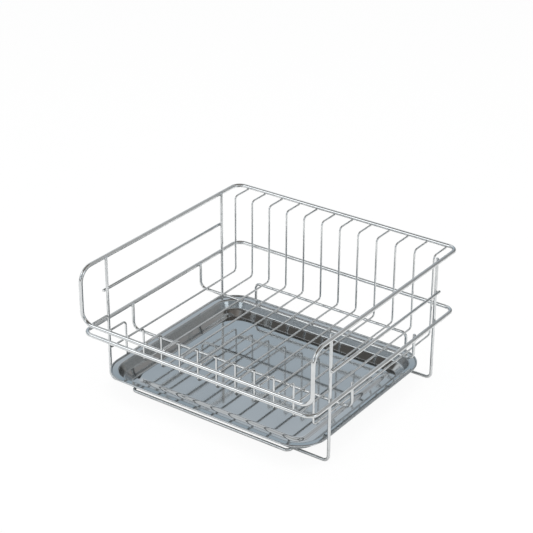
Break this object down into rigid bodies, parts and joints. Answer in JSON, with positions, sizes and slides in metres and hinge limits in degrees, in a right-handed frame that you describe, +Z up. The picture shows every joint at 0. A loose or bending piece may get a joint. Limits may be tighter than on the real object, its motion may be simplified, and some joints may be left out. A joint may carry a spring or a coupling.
{
  "type": "dish drainer basket",
  "caption": "Welded wire dish drainer with a high rim on the back and sides and a low front bar, and a pressed drip tray that slides out forwards from under the basket.",
  "frame": {"origin": "on the worktop, under the middle of the rack's plan", "axes": "+X to the right along the front, +Y to the back, +Z up; the tray slides out along -Y"},
  "size_m": [0.406, 0.384, 0.2022],
  "materials": {
    "rack_wire": "electropolished stainless steel wire",
    "tray_sheet": "mirror-polished stainless steel sheet"
  },
  "bodies": {
    "rack": {"top_rim": "rack_wire", "mid_loop": "rack_wire", "front_leg_frame": "rack_wire", "back_leg_frame": "rack_wire", "left_side_rail": "rack_wire", "right_side_rail": "rack_wire", "front_cross_wire": "rack_wire", "back_cross_wire": "rack_wire", "tray_runner": "rack_wire", "basket_wire_01": "rack_wire", "basket_wire_02": "rack_wire", "basket_wire_03": "rack_wire", "basket_wire_04": "rack_wire", "basket_wire_05": "rack_wire", "basket_wire_06": "rack_wire", "basket_wire_07": "rack_wire", "basket_wire_08": "rack_wire", "basket_wire_09": "rack_wire", "basket_wire_10": "rack_wire", "basket_wire_11": "rack_wire", "basket_wire_12": "rack_wire"},
    "tray": {"drip_tray": "tray_sheet"}
  },
  "joints": [
    {"name": "tray_slide", "type": "slide", "parent": "rack", "child": "tray", "axis": [0, -1, 0], "range_m": [-0.0077, 0.3]}
  ]
}
